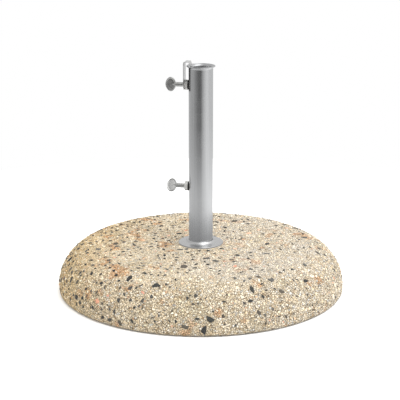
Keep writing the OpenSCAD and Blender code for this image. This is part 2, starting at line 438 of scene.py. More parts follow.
# Fine grains of the washed surface: share of the grains and colour.
GRAIN_COLOURS = (
    (0.42, srgb(249, 235, 208)),
    (0.24, srgb(252, 242, 220)),
    (0.15, srgb(243, 225, 193)),
    (0.05, srgb(249, 245, 234)),
    (0.06, srgb(236, 213, 179)),
    (0.03, srgb(230, 228, 219)),
    (0.01, srgb(236, 196, 164)),
    (0.025, srgb(198, 172, 138)),
    (0.015, srgb(124, 120, 110)),
)
# Colours in the gaps between the grains, with their shares: sand, and painted shadow as the darkest.
GAP_SAND_AND_SHADOW = (
    (0.22, srgb(124, 106, 78)),
    (0.24, srgb(168, 148, 114)),
    (0.14, srgb(208, 187, 150)),
    (0.40, srgb(66, 54, 40)),
)
GRAIN_SCALE = 250.0
SAND_SCALE = 620.0
WARP_SCALE = 420.0
WARP = 2.2 * MM
STONE_TINT = (1.0, 0.975, 0.955)
# Painted light: the cooler, paler tint of the lit +X side of the disc.
LIT_SIDE_TINT = (0.97, 1.0, 1.06)
GRAIN_BUMP = 2.9 * MM


def share_stops(colours):
    """Places on a stepped ramp for colours given with their shares."""
    place, stops = 0.0, []
    for share, colour in colours:
        stops.append((place, colour))
        place += share
    return stops


def warped(look):
    """The object's coordinates, bent a little so that the grains aren't even."""
    noise = look.node("TexNoise", {"Vector": look.coords, "Scale": WARP_SCALE, "Detail": 1.0})
    less_half = {0: noise.outputs["Color"], 1: (0.5, 0.5, 0.5)}
    centred = look.node("VectorMath", less_half, operation="SUBTRACT")
    shift = look.node("VectorMath", {0: centred.outputs[0], "Scale": WARP}, operation="SCALE")
    place = look.node("VectorMath", {0: look.coords, 1: shift.outputs[0]}, operation="ADD")
    return place.outputs[0]


def cell_edge(look, scale, place):
    return look.cells(scale, place, feature="DISTANCE_TO_EDGE").outputs["Distance"]


def patches(look, colour, side, up):
    """Slow changes of colour over the disc, with a painted shade tint on its -X side and a painted
    light tint on its +X side.
    """
    salmon = look.spread(look.noise(26.0, detail=2.5), 0.575, 0.69, 0, 0.95, True)
    colour = look.mix(salmon, colour, srgb(246, 210, 184), "MULTIPLY")
    cool = look.noise(11.0, look.scaled((1.3, 0.9, 1.1)), 3.0)
    cool = look.spread(cool, 0.56, 0.68, 0, 0.5, True)
    colour = look.mix(cool, colour, srgb(222, 224, 218), "MULTIPLY")

    # Painted shade and light: the -X side, where shade falls, is tinted more ochre, and the lit +X
    # side paler and cooler.
    shade_side_tint = look.spread(side, -0.1, -0.28, 0, 1, True)
    colour = look.mix(shade_side_tint, colour, srgb(255, 239, 207), "MULTIPLY")
    pale = look.spread(side, 0.0, 0.2, 0, 1, True)
    colour = look.mix(pale, colour, LIT_SIDE_TINT, "MULTIPLY")

    # A thin blotchy grey is mixed into the flat top on its +X side.
    level = look.spread(up, BASE_Z1 - 9 * MM, BASE_Z1, 0, 1, True)
    level = look.math("MULTIPLY", level, look.spread(side, -0.12, 0.06, 0, 1, True))
    grey_blotches = look.spread(look.noise(8.0, detail=3.0), 0.42, 0.62, 0.1, 0.42, True)
    colour = look.mix(look.math("MULTIPLY", level, grey_blotches), colour, srgb(236, 234, 228))
    return look.times(colour, STONE_TINT)


def washed_concrete():
    """Rounded grains with sandy colour and painted shadow in the gaps between them."""
    look = Look("washed_concrete", Roughness=0.82, Specular_IOR_Level=0.25)
    place = warped(look)
    axes = look.node("SeparateXYZ", {0: look.coords}).outputs
    side, up = axes["X"], axes["Z"]

    grain = look.cells(GRAIN_SCALE, place).outputs["Color"]
    edge = cell_edge(look, GRAIN_SCALE, place)
    colour = look.ramp(look.channel(grain, 0), share_stops(GRAIN_COLOURS), True)
    colour = look.toned(colour, look.spread(look.channel(grain, 1), 0, 1, 0.79, 1.13))
    colour = patches(look, colour, side, up)

    # The gaps' sand and painted shadow show less on the flat top, lit from above, than on the side.
    fine = look.cells(SAND_SCALE, place).outputs["Color"]
    sand_and_shadow = look.ramp(look.channel(fine, 0), share_stops(GAP_SAND_AND_SHADOW), True)
    gap = look.spread(edge, 0.02, 0.18, 1, 0, True)
    gap_shadow_share = look.spread(up, BASE_Z1 - 30 * MM, BASE_Z1 - 4 * MM, 0.95, 0.79, True)
    colour = look.mix(look.math("MULTIPLY", gap, gap_shadow_share), colour, sand_and_shadow)
    speckle = look.spread(look.noise(1500.0, detail=2.0), 0.3, 0.7, 0.88, 1.02)
    look.to_surface(look.toned(colour, speckle), "Base Color")

    dome = look.spread(edge, 0.0, 0.32, 0, 1, True)
    lift = look.math("MULTIPLY", dome, look.spread(look.channel(grain, 2), 0, 1, 0.5, 1.0))
    fine_edge = cell_edge(look, SAND_SCALE, place)
    small = look.math("MULTIPLY", look.spread(fine_edge, 0, 0.3, 0, 1, True), 0.25)
    look.bump(look.math("ADD", lift, small), GRAIN_BUMP)
    return look.mat


def pebble_look():
    """Single stones: their own colour, mottled and finely pitted."""
    look = Look("pebbles", Roughness=0.62, Specular_IOR_Level=0.4)
    own = look.node("Attribute", attribute_name="stone_colour").outputs["Color"]
    mottle = look.spread(look.noise(260.0, detail=4.0, roughness=0.65), 0.25, 0.75, 0.72, 1.14)
    colour = look.toned(own, mottle)
    fleck = look.spread(look.cells(900.0).outputs["Distance"], 0.12, 0.22, 0.35, 0, True)
    colour = look.mix(fleck, colour, srgb(226, 214, 190))
    look.to_surface(colour, "Base Color")
    pits = look.math("MULTIPLY", look.noise(1700.0), 0.4)
    height = look.math("ADD", look.noise(420.0, detail=3.0), pits)
    look.bump(height, 0.5 * MM, 0.7)
    return look.mat


# ---- materials: metal, rubber, plastic ----


CAST_ROUGHER = 0.08


def brushed_metal(name, colour, roughness, along, depth=0.02):
    """Metal with hairlines and wider bands along one axis: "x", "y" or "z"."""
    look = Look(name, Metallic=1.0)
    hair, wide = [2600.0] * 3, [220.0] * 3
    hair["xyz".index(along)] = 9.0
    wide["xyz".index(along)] = 3.0
    lines = look.noise(1.0, look.scaled(hair), detail=3.0, roughness=0.6)
    bands = look.spread(look.noise(1.0, look.scaled(wide), detail=2.0), 0.3, 0.7, -0.03, 0.03)
    tone = look.math("ADD", look.spread(lines, 0.25, 0.75, 0.90, 1.04), bands)
    look.to_surface(look.toned(colour, tone), "Base Color")
    smudge = look.spread(look.noise(38.0, detail=4.0), 0.35, 0.7, 0, 0.05)
    rough = look.spread(lines, 0.2, 0.8, roughness - 0.05, roughness + 0.05)
    look.to_surface(look.math("ADD", rough, smudge), "Roughness")
    look.bump(lines, depth * MM, 0.5)
    return look.mat


def worn_metal(name, colour, roughness, grain=900.0, depth=0.03, metallic=1.0, cast_in=None):
    """Plated or cast metal with fine grain, small scratches and duller patches.

    cast_in names a mesh attribute: where it is 1 the metal is left as cast and is rougher.
    """
    look = Look(name, Metallic=metallic)
    fine = look.noise(grain, detail=3.0, roughness=0.6)
    patch = look.noise(130.0, detail=4.0, roughness=0.6)
    scratch = look.noise(1.0, look.scaled((2400.0, 160.0, 900.0)), detail=2.0)
    tarnish = look.spread(patch, 0.3, 0.7, -0.05, 0.02)
    tone = look.math("ADD", look.spread(fine, 0.3, 0.7, 0.92, 1.03), tarnish)
    look.to_surface(look.toned(colour, tone), "Base Color")
    rough = look.spread(patch, 0.3, 0.75, roughness, roughness + 0.08)
    rough = look.math("ADD", rough, look.spread(scratch, 0.6, 0.8, 0, 0.1))
    if cast_in:
        cast = look.node("Attribute", attribute_name=cast_in).outputs["Fac"]
        rough = look.math("ADD", rough, look.math("MULTIPLY", cast, CAST_ROUGHER))
    look.to_surface(rough, "Roughness")
    height = look.math("ADD", fine, look.math("MULTIPLY", scratch, 0.5))
    look.bump(height, depth * MM, 0.5)
    return look.mat


def soft_black(name, colour, roughness, grain):
    """Rubber or moulded plastic: near black, faintly mottled, fine moulded grain."""
    look = Look(name, Specular_IOR_Level=0.4)
    mottle = look.noise(150.0, detail=4.0)
    fine = look.noise(grain, detail=2.0)
    tinted = look.toned(colour, look.spread(mottle, 0.3, 0.7, 0.8, 1.3))
    dust = look.spread(look.noise(60.0, detail=5.0, roughness=0.7), 0.58, 0.75, 0, 0.25, True)
    look.to_surface(look.mix(dust, tinted, srgb(120, 112, 100)), "Base Color")
    look.to_surface(look.spread(fine, 0.3, 0.7, roughness - 0.06, roughness + 0.08), "Roughness")
    look.bump(fine, 0.08 * MM, 0.5)
    return look.mat


CONCRETE = washed_concrete()
PEBBLES = pebble_look()
PIPE_STEEL = brushed_metal("brushed_pipe", srgb(214, 215, 216), 0.22, "z", depth=0.008)
ROSETTE_STEEL = worn_metal("satin_rosette", srgb(226, 226, 226), 0.17, 1400.0, 0.012)
STRIP_STEEL = brushed_metal("spring_strip", srgb(240, 240, 239), 0.30, "z")
ZINC = worn_metal("bright_zinc", srgb(222, 222, 219), 0.44)
CHROME = worn_metal("polished_screw", srgb(222, 222, 220), 0.16, 600.0, 0.008, cast_in="recess")
SATIN = worn_metal("satin_insert", srgb(228, 228, 225), 0.36, 700.0, 0.02, metallic=0.75)
RUBBER = soft_black("black_rubber", srgb(34, 34, 34), 0.7, 1800.0)
PLASTIC = soft_black("black_plastic", srgb(40, 40, 42), 0.45, 900.0)


# ---- concrete disc ----


def disc_section():
    """Half section of the disc as (radius, height, outward r, outward z, how rough).

    It starts at the socket's edge, runs over the top, shoulder, side and underside, and
    comes back up through the bolt's hole and the socket.
    """
    edge_r = BASE_R - BOTTOM_EDGE_R
    edge_z = BASE_Z0 + BOTTOM_EDGE_R
    recess_z = BASE_Z0 + RECESS_DEPTH
    socket_z = BASE_Z1 - SOCKET_DEPTH
    rows = []
    steps = round((FLAT_R - SOCKET_R) / SURFACE_STEP)
    for i in range(steps):
        r = SOCKET_R + (FLAT_R - SOCKET_R) * i / steps
        rough = limited((r - ROSETTE_HI.x - 1 * MM) / SEAT_FADE)
        rows.append((r, BASE_Z1, 0, 1, rough))
    steps = round(SHOULDER_R * math.pi / 2 / SURFACE_STEP)
    for i in range(steps + 1):
        a = math.pi / 2 * (1 - i / steps)
        c, s = math.cos(a), math.sin(a)
        rows.append((FLAT_R + SHOULDER_R * c, SHOULDER_Z + SHOULDER_R * s, c, s, 1))
    steps = max(1, round((SHOULDER_Z - edge_z) / SURFACE_STEP))
    for i in range(1, steps + 1):
        rows.append((BASE_R, SHOULDER_Z + (edge_z - SHOULDER_Z) * i / steps, 1, 0, 1))
    for i in range(1, 5):
        a = -math.pi / 2 * i / 4
        c, s = math.cos(a), math.sin(a)
        rows.append((edge_r + BOTTOM_EDGE_R * c, edge_z + BOTTOM_EDGE_R * s, c, s, 1 - i / 4))
    for i in range(1, 8):
        rows.append((edge_r + (RECESS_R - edge_r) * i / 7, BASE_Z0, 0, -1, 0))
    rows.append((RECESS_R, recess_z, -1, 0, 0))
    rows.append((BOLT_HOLE_R, recess_z, 0, -1, 0))
    rows.append((BOLT_HOLE_R, socket_z, -1, 0, 0))
    rows.append((SOCKET_R, socket_z, 0, 1, 0))
    return rows


def stitch(faces, a, b):
    """Triangles between ring a and ring b, each (first vertex, count, phase)."""
    (a0, na, pa), (b0, nb, pb) = a, b
    i = j = 0
    while i < na or j < nb:
        turn_a = (i + 1 + pa) / na
        turn_b = (j + 1 + pb) / nb
        if j >= nb or (i < na and turn_a <= turn_b):
            faces.append((a0 + i % na, b0 + j % nb, a0 + (i + 1) % na))
            i += 1
        else:
            faces.append((a0 + i % na, b0 + j % nb, b0 + (j + 1) % nb))
            j += 1


def relief(points):
    """Height of the washed surface over the plain disc: grains, pebbles and slow swells."""
    near, far, value = cells(points, GRAIN_SIZE, SEED)
    grains = np.clip((far - near) / 0.45, 0, 1) * (0.35 + 0.65 * value)
    near, far, value = cells(points, LUMP_SIZE, SEED + 1)
    lumps = np.clip((far - near) / 0.5, 0, 1) * np.clip((value - 0.45) / 0.55, 0, 1)
    swell = smooth_noise(points, SWELL_SIZE, SEED + 2)
    ripple = smooth_noise(points, RIPPLE_SIZE, SEED + 3)
    return MM * (1.0 * grains + 0.6 * lumps + 0.45 * swell + 0.3 * ripple - 0.55)


def concrete_disc():
    section = disc_section()
    coarse = 12 * MM
    verts, outward, amount, rings = [], [], [], []
    for index, (r, z, nr, nz, rough) in enumerate(section):
        step = SURFACE_STEP if rough > 0 or index < 4 else coarse
        count = max(72, round(TAU * r / step))
        phase = 0.5 * (index % 2)
        rings.append((len(verts), count, phase))
        for i in range(count):
            a = TAU * (i + phase) / count
            c, s = math.cos(a), math.sin(a)
            verts.append((r * c, r * s, z))
            outward.append((nr * c, nr * s, nz))
            amount.append(rough)
    faces = []
    for a, b in zip(rings, rings[1:] + rings[:1]):
        stitch(faces, a, b)
    points = np.array(verts)
    shift = relief(points) * np.array(amount)
    points = points + np.array(outward) * shift[:, None]
    return mesh_object("concrete_disc", points, faces, 60)


disc = concrete_disc()
paint(disc, CONCRETE)
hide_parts("concrete_base")
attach(disc, "stand")
disc.visible_glossy = False


# ---- single stones let into the surface ----


def palette(*colours):
    return tuple(srgb(*colour) for colour in colours)


# Colours of the stones.
DARK = palette((74, 74, 70), (60, 61, 58), (94, 93, 88), (86, 80, 70), (50, 51, 50))
GREY = palette((182, 180, 170), (160, 158, 150), (204, 201, 190), (136, 136, 130))
CREAM = palette((248, 234, 208), (240, 221, 188), (245, 235, 212), (232, 209, 172), (246, 230, 200))
WARM = palette((232, 186, 156), (236, 200, 168), (220, 160, 130), (216, 182, 140), (214, 158, 134))

# Stones: how many, least and greatest length in mm, how much the sizes lean to the small ones,
# colours, and the seed of their crowding (0 where they lie evenly).
DARK_KINDS = (
    (70, 18, 29, 1.1, DARK, 5),
    (260, 11, 18, 1.1, DARK, 5),
    (340, 6, 12, 1.0, DARK, 5),
)
LIGHT_KINDS = (
    (34, 9, 17, 1.3, GREY, 6),
    (34, 11, 22, 1.4, WARM, 7),
    (300, 7, 14, 1.5, CREAM, 0),
    (60, 4, 8, 1.0, WARM, 7),
    (1500, 4, 8, 1.0, CREAM, 0),
    (50, 4, 8, 1.0, GREY, 6),
)
CLEAR_R = 52 * MM
CROWD_SIZE = 48 * MM
TRIES_EACH = 12
# How much the dark stones keep to the -X side.
DARK_LEAN = 0.35


def unit_ball(levels):
    """Vertices and faces of a subdivided icosahedron."""
    ball = bmesh.new()
    bmesh.ops.create_icosphere(ball, subdivisions=levels, radius=1.0)
    verts = np.array([v.co[:] for v in ball.verts])
    faces = np.array([[v.index for v in f.verts] for f in ball.faces])
    ball.free()
    return verts, faces


def place_on_disc(u):
    """Point and outward normal at share u of the visible surface's area."""
    flat_area = math.pi * (FLAT_R**2 - SOCKET_R**2)
    bend_area = TAU * SHOULDER_R * (FLAT_R * math.pi / 2 + SHOULDER_R)
    target = u * (flat_area + bend_area)
    if target < flat_area:
        r = math.sqrt(SOCKET_R**2 + target / math.pi)
        return r, BASE_Z1, 0.0, 1.0
    low, high = 0.0, math.pi / 2
    for _ in range(24):
        t = (low + high) / 2
        area = TAU * SHOULDER_R * (FLAT_R * t + SHOULDER_R * (1 - math.cos(t)))
        if area < target - flat_area:
            low = t
        else:
            high = t
    c, s = math.cos(t), math.sin(t)
    return FLAT_R + SHOULDER_R * s, SHOULDER_Z + SHOULDER_R * c, s, c


class Ground:
    """Keeps stones from lying over one another."""

    def __init__(self):
        self.taken = {}
        self.pitch = 24 * MM

    def key(self, p):
        return tuple(int(math.floor(c / self.pitch)) for c in p)

    def free(self, p, r):
        k = self.key(p)
        for offset in product((-1, 0, 1), repeat=3):
            cell = tuple(a + b for a, b in zip(k, offset))
            for q, s in self.taken.get(cell, ()):
                if (p - q).length < (r + s) * 0.9:
                    return False
        self.taken.setdefault(k, []).append((p, r))
        return True


def cut(verts, way, depth, share):
    """Draws what lies past a plane, square to way and at depth, back to it by a share."""
    n = np.array(way)
    n /= np.linalg.norm(n)
    return verts - np.outer(np.clip(verts @ n - depth, 0, None), n) * share


def stone_shape(rng, ball, sides):
    """A crushed lump: a ball cut round its outline by a few steep planes, and across its top."""
    verts = ball
    start = rng.uniform(0, TAU)
    for i in range(sides):
        a = start + TAU * (i + rng.uniform(-0.32, 0.32)) / sides
        way = (math.cos(a), math.sin(a), rng.uniform(-0.1, 0.45))
        verts = cut(verts, way, rng.uniform(0.42, 0.85), 0.97)
    way = (*rng.normal(scale=0.2, size=2), 1.0)
    return cut(verts, way, rng.uniform(0.3, 0.5), 0.85)


def too_sparse(rng, p, colours, crowding):
    """Whether a place is passed over because stones of this kind crowd elsewhere."""
    crowd = smooth_noise(np.array([p]), CROWD_SIZE, SEED + crowding)[0]
    lean = DARK_LEAN * p.x / BASE_R if colours is DARK else 0
    return rng.uniform(-0.75, 0.75) > crowd - lean


def set_stone(rng, ball, p, n, a):
    """Points of a stone of half length a, let into the surface at p with normal n."""
    spin = rng.uniform(0, TAU)
    t = n.orthogonal().normalized()
    t = (t * math.cos(spin) + n.cross(t) * math.sin(spin)).normalized()
    b = a * rng.uniform(0.5, 0.95)
    h = min(a, b) * rng.uniform(0.6, 0.85)
    proud = rng.uniform(0.5, 1.3) * MM
    shape = stone_shape(rng, ball, 6) * np.array([a, b, h])
    axes = np.array([t, n.cross(t), n])
    tilt = rng.normal(scale=0.12, size=2)
    shape[:, 2] += shape[:, 0] * tilt[0] + shape[:, 1] * tilt[1]
    top = shape[:, 2].max()
    return shape @ axes + np.array(p) + np.array(n) * (proud - top)


def stone_tint(rng, colours):
    base = np.array(colours[rng.integers(len(colours))])
    return np.clip(base * rng.uniform(0.76, 0.98) * rng.uniform(0.97, 1.03, 3), 0, 1)


def stones(name, rng, ground, kinds, levels):
    """One object of many closed stones, of the kinds in a table like DARK_KINDS."""
    ball, ball_faces = unit_ball(levels)
    all_verts, all_faces, all_colours = [], [], []
    for count, least, most, skew, colours, crowding in kinds:
        made = tries = 0
        while made < count and tries < count * TRIES_EACH:
            tries += 1
            u, angle = rng.uniform(0, 1), rng.uniform(0, TAU)
            r, z, nr, nz = place_on_disc(u)
            if r < CLEAR_R or z - least * 0.6 * MM < BASE_Z0:
                continue
            c, s = math.cos(angle), math.sin(angle)
            p = Vector((r * c, r * s, z))
            if crowding and too_sparse(rng, p, colours, crowding):
                continue
            a = 0.5 * MM * (least + (most - least) * rng.uniform() ** skew)
            if not ground.free(p, a):
                continue
            n = Vector((nr * c, nr * s, nz))
            all_faces.append(ball_faces + len(ball) * len(all_verts))
            all_verts.append(set_stone(rng, ball, p, n, a))
            all_colours.append(np.tile([*stone_tint(rng, colours), 1.0], (len(ball), 1)))
            made += 1
    faces = np.concatenate(all_faces).tolist()
    obj = mesh_object(name, np.concatenate(all_verts), faces, 50)
    attribute = obj.data.attributes.new("stone_colour", "FLOAT_COLOR", "POINT")
    attribute.data.foreach_set("color", np.concatenate(all_colours).ravel())
    paint(obj, PEBBLES)
    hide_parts("concrete_base")
    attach(obj, "stand")
    obj.visible_glossy = False


rng = np.random.default_rng(SEED)
ground = Ground()
stones("dark_stones", rng, ground, DARK_KINDS, 2)
stones("light_stones", rng, ground, LIGHT_KINDS, 1)


# ---- standpipe ----


def pipe_outline():
    """Closed half section of the pipe with its rolled lip, edges broken."""
    chamfer = 0.25 * MM
    row = 8 * MM
    angle = math.degrees(FLARE_ANGLE)
    wall = PIPE_R - RELIEF_R
    cx = PIPE_R + FLARE_R
    steps = round((FLARE_Z - PIPE_Z0) / row)
    points = line((PIPE_R, PIPE_Z0 + chamfer), (PIPE_R, FLARE_Z), steps)
    middle = FLARE_R + wall / 2
    bead = LIP_BEAD_R
    hidden = math.degrees(math.asin(wall / 2 / bead))
    sheet_end = 180 - angle + math.degrees(bead * math.cos(math.radians(hidden)) / middle)
    points += arc(cx, FLARE_Z, FLARE_R, 180, sheet_end, 12)
    lip_a = math.radians(180 - angle)
    lip_x = cx + middle * math.cos(lip_a)
    lip_z = FLARE_Z + middle * math.sin(lip_a)
    wrap = 90 - hidden
    points += arc(lip_x, lip_z, bead, -angle - wrap, 180 - angle + wrap, 16)[1:-1]
    points += arc(cx, FLARE_Z, FLARE_R + wall, sheet_end, 180, 12)[:-1]
    steps = round((FLARE_Z - RELIEF_Z) / row)
    points += line((RELIEF_R, FLARE_Z), (RELIEF_R, RELIEF_Z), steps)
    points.append((RELIEF_R, RELIEF_Z))
    steps = round((RELIEF_Z - PIPE_Z0) / row)
    points += line((BORE_R, RELIEF_Z), (BORE_R, PIPE_Z0 + chamfer), steps)
    points += [(BORE_R, PIPE_Z0 + chamfer), (BORE_R + chamfer, PIPE_Z0)]
    return points + [(PIPE_R - chamfer, PIPE_Z0)]


def drilled(obj, heights):
    """Cuts the shank holes through the -X wall."""
    outer, inner = -40 * MM, -15 * MM
    outline = [(0, outer), (SHANK_HOLE_R, outer), (SHANK_HOLE_R, inner), (0, inner)]
    for z in heights:
        cutter = mesh_object("cutter", *moved(lathe_x(outline, 64), (0, 0, z), math.pi / 64))
        modifier = obj.modifiers.new("hole", "BOOLEAN")
        modifier.operation = "DIFFERENCE"
        modifier.solver = "EXACT"
        modifier.object = cutter
        with_modifiers_applied(obj, 40)
        bpy.data.objects.remove(cutter)
    return obj


def standpipe():
    verts, faces = revolve(pipe_outline(), 160)
    obj = mesh_object("standpipe", verts, faces, 40)
    return drilled(obj, (UPPER_Z, LOWER_Z))


pipe = standpipe()
paint(pipe, PIPE_STEEL)
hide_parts("stand_pipe")
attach(pipe, "stand")


# ---- rosette ----


def bezier(p0, p1, p2, p3, steps):
    """Points of a cubic curve, without its first."""
    points = []
    for i in range(1, steps + 1):
        t = i / steps
        weights = ((1 - t) ** 3, 3 * t * (1 - t) ** 2, 3 * t * t * (1 - t), t**3)
        parts = list(zip(weights, (p0, p1, p2, p3)))
        points.append(tuple(sum(w * p[axis] for w, p in parts) for axis in (0, 1)))
    return points


def rosette_outline():
    """Closed half section of the pressed rosette: rounded collar, shallow web, upright lip."""
    sheet = 1.0 * MM
    bore = PIPE_R + 0.3 * MM
    collar = 2.0 * MM
    leave = 40
    edge = 0.9 * MM
    top = arc(bore + collar, ROSETTE_HI.z - collar, collar, 180, leave, 10)
    web_in = (bore + 2 * collar + 3.2 * MM, ROSETTE_HI.z - 4.3 * MM)
    web_out = (ROSETTE_HI.x - edge - 0.6 * MM, ROSETTE_LO.z + 2.55 * MM)
    a = math.radians(leave)
    start = top[-1]
    down = (start[0] + 1.2 * MM * math.sin(a), start[1] - 1.2 * MM * math.cos(a))
    fall = (web_out[1] - web_in[1]) / (web_out[0] - web_in[0])
    level = (web_in[0] - 1.6 * MM, web_in[1] - 1.6 * MM * fall)
    top += bezier(start, down, level, web_in, 6)
    top += line(web_in, web_out, 6)[1:]
    top += arc(ROSETTE_HI.x - edge, web_out[1] - edge, edge, 82, 0, 6)
    top += [(ROSETTE_HI.x, ROSETTE_LO.z), (ROSETTE_HI.x - sheet, ROSETTE_LO.z)]
    under = [
        (ROSETTE_HI.x - sheet, web_out[1] - sheet - 0.3 * MM),
        (web_out[0] - 0.6 * MM, web_out[1] - sheet),
        (web_in[0], web_in[1] - sheet),
        (bore + 1.1 * MM, web_in[1] - sheet + 0.4 * MM),
        (bore, web_in[1] - sheet + 0.4 * MM),
    ]
    return (top + under)[::-1]


rosette = mesh_object("rosette", *revolve(rosette_outline(), 144), 40)
paint(rosette, ROSETTE_STEEL)
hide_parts("cover_rosette")
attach(rosette, "rosette")


# ---- clamping screws ----


def threaded_rod(x0, x1):
    """Closed threaded rod along X, from x0 up to x1, with the thread faded out at both ends."""
    around = 36
    per_pitch = 10
    rows = round((x1 - x0) / SCREW_PITCH * per_pitch) + 1
    fade_length = 1.2 * MM
    circle = turns(around)
    verts = []
    for i in range(rows):
        x = x0 + (x1 - x0) * i / (rows - 1)
        fade = min(1, (x - x0) / fade_length, (x1 - x) / fade_length)
        for j, (c, s) in enumerate(circle):
            turn = x / SCREW_PITCH + j / around
            crest = limited(0.5 + 0.75 * math.cos(TAU * turn))
            r = SCREW_R - THREAD_DEPTH * (1 - crest * fade)
            verts.append((x, r * c, r * s))
    faces = ring_faces(rows, around, turned=True)
    faces += end_fans(rows, around, len(verts), len(verts) + 1, turned=True)
    return verts + [(x0, 0, 0), (x1, 0, 0)], faces


def paddle_ring(inset, y):
    """The paddle's outline of four arcs, drawn in by inset, at height y through its thickness."""
    end_c = PADDLE_B - PADDLE_END_R
    slack = PADDLE_A - PADDLE_END_R
    side_c = (end_c**2 - slack**2) / (2 * slack)
    side_r = side_c + PADDLE_A
    turn = math.degrees(math.atan2(end_c, side_c))
    flat = arc(-side_c, 0, side_r - inset, -turn, turn, 16)[:-1]
    flat += arc(0, end_c, PADDLE_END_R - inset, turn, 180 - turn, 14)[:-1]
    flat += arc(side_c, 0, side_r - inset, 180 - turn, 180 + turn, 16)[:-1]
    flat += arc(0, -end_c, PADDLE_END_R - inset, 180 + turn, 360 - turn, 14)[:-1]
    return [(-PADDLE_X + x, y, z) for x, z in flat]


def paddle_section():
    """Half section of the paddle as (distance in from its outline, height, how far as cast)."""
    half = PADDLE_T / 2
    bead = 1.5 * MM
    sink = 0.55 * MM
    reach = 7.6 * MM
    edge = half - bead
    rows = [(0.0, edge, 0)]
    for i in range(1, 7):
        a = math.radians(90) * i / 6
        rows.append((bead * (1 - math.cos(a)), edge + bead * math.sin(a), 0))
    slope_end = bead + 1.5 * MM
    quarters = (0.25, 0.5, 0.75, 1.0)
    for t in quarters:
        rows.append((bead + (slope_end - bead) * t, half - sink * eased(t), t))
    for t in quarters:
        rise = 0.3 * MM * (1 - (1 - t) ** 2)
        rows.append((slope_end + (reach - slope_end) * t, half - sink + rise, 1))
    return rows


def paddle():
    """Cast oval with a rounded rim round a shallow recess on both faces."""
    rows = paddle_section()
    section = [(d, -y, cast) for d, y, cast in reversed(rows)] + rows
    verts, as_cast = [], []
    for d, y, cast in section:
        ring = paddle_ring(d, y)
        verts += ring
        as_cast += [cast] * len(ring)
    count = len(verts) // len(section)
    faces = ring_faces(len(section), count)
    faces += end_fans(len(section), count, len(verts), len(verts) + 1)
    verts += [(-PADDLE_X, section[0][1], 0), (-PADDLE_X, section[-1][1], 0)]
    as_cast += [1, 1]
    return verts, faces, as_cast


def clamp_screw(name, node, body, turn):
    """Threaded shaft, faired neck, oval paddle and the spigot that carries the tip cap."""
    lo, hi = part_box(node)
    z = (lo.z + hi.z) / 2
    ahead = lo.x + PADDLE_X + PADDLE_A
    neck_x = -(PADDLE_X - PADDLE_A + 1 * MM)
    shaft_end = hi.x - ahead - 2.9 * MM
    neck = [
        (0, -PADDLE_X - 2.2 * MM),
        (1.7 * MM, -PADDLE_X - 2 * MM),
        (2.1 * MM, -PADDLE_X + 4 * MM),
        (2.9 * MM, -PADDLE_X + 8 * MM),
        (SCREW_R - 0.35 * MM, neck_x - 0.4 * MM),
        (SCREW_R, neck_x),
        (SCREW_R, neck_x + 1.1 * MM),
        (SCREW_R - 0.5 * MM, neck_x + 1.6 * MM),
        (0, neck_x + 1.6 * MM),
    ]
    tip = hi.x - ahead
    spigot = [
        (0, shaft_end - 1 * MM),
        (SPIGOT_R, shaft_end - 1 * MM),
        (SPIGOT_R, tip - 0.3 * MM),
        (SPIGOT_R - 0.3 * MM, tip),
        (0, tip),
    ]
    rod = threaded_rod(neck_x + 1 * MM, shaft_end)
    *oval, as_cast = paddle()
    shells = join(oval, rod, lathe_x(neck, 40), lathe_x(spigot, 32))
    obj = mesh_object(name, *moved(shells, (ahead, 0, z), turn), 38)
    recess = obj.data.attributes.new("recess", "FLOAT", "POINT")
    plain = [0] * (len(obj.data.vertices) - len(as_cast))
    recess.data.foreach_set("value", as_cast + plain)
    paint(obj, CHROME)
    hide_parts(node)
    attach(obj, body)


clamp_screw("upper_clamp_screw", "upper_screw", "upper_clamp", 0.0)
clamp_screw("lower_clamp_screw", "lower_screw", "lower_clamp", math.radians(-35))


# ---- clamp strip ----


def strip_columns():
    """Places across the strip, matching the eye's upper edge."""
    count = 16
    angles = [math.radians(45 + 90 * i / count) for i in range(count + 1)]
    half = STRIP_W / 2
    return [half / math.tan(a) for a in angles]


def finished_sheet(name, verts, faces):
    """A sheet's middle surface made STRIP_T thick with broken edges."""
    obj = mesh_object(name, verts, faces, 30)
    solid = obj.modifiers.new("thick", "SOLIDIFY")
    solid.thickness = STRIP_T
    solid.offset = 0
    solid.use_even_offset = True
    bevel = obj.modifiers.new("edges", "BEVEL")
    bevel.width = 0.18 * MM
    bevel.segments = 2
    bevel.limit_method = "ANGLE"
    bevel.angle_limit = math.radians(50)
    return with_modifiers_applied(obj, 40)


def add_row(verts, points):
    """Adds a row of points and gives their numbers."""
    verts += points
    return list(range(len(verts) - len(points), len(verts)))


def rows_to_faces(rows):
    """Quads between rows of vertex numbers."""
    return [
        (a[i], a[i + 1], b[i + 1], b[i])
        for a, b in zip(rows, rows[1:])
        for i in range(len(a) - 1)
    ]


STRIP_LO, STRIP_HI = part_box("clamp_strip")
STRIP_OUT_X = STRIP_LO.x + STRIP_T / 2
STRIP_TOP_Z = STRIP_HI.z - STRIP_T / 2
STRIP_BEND = 2.6 * MM
STRIP_ARCH_R = 23.75 * MM
STRIP_ARCH_X = 1.5 * MM
STRIP_IN_X = STRIP_ARCH_X - STRIP_ARCH_R
STRIP_SPLIT_Z = STRIP_TOP_Z - STRIP_BEND


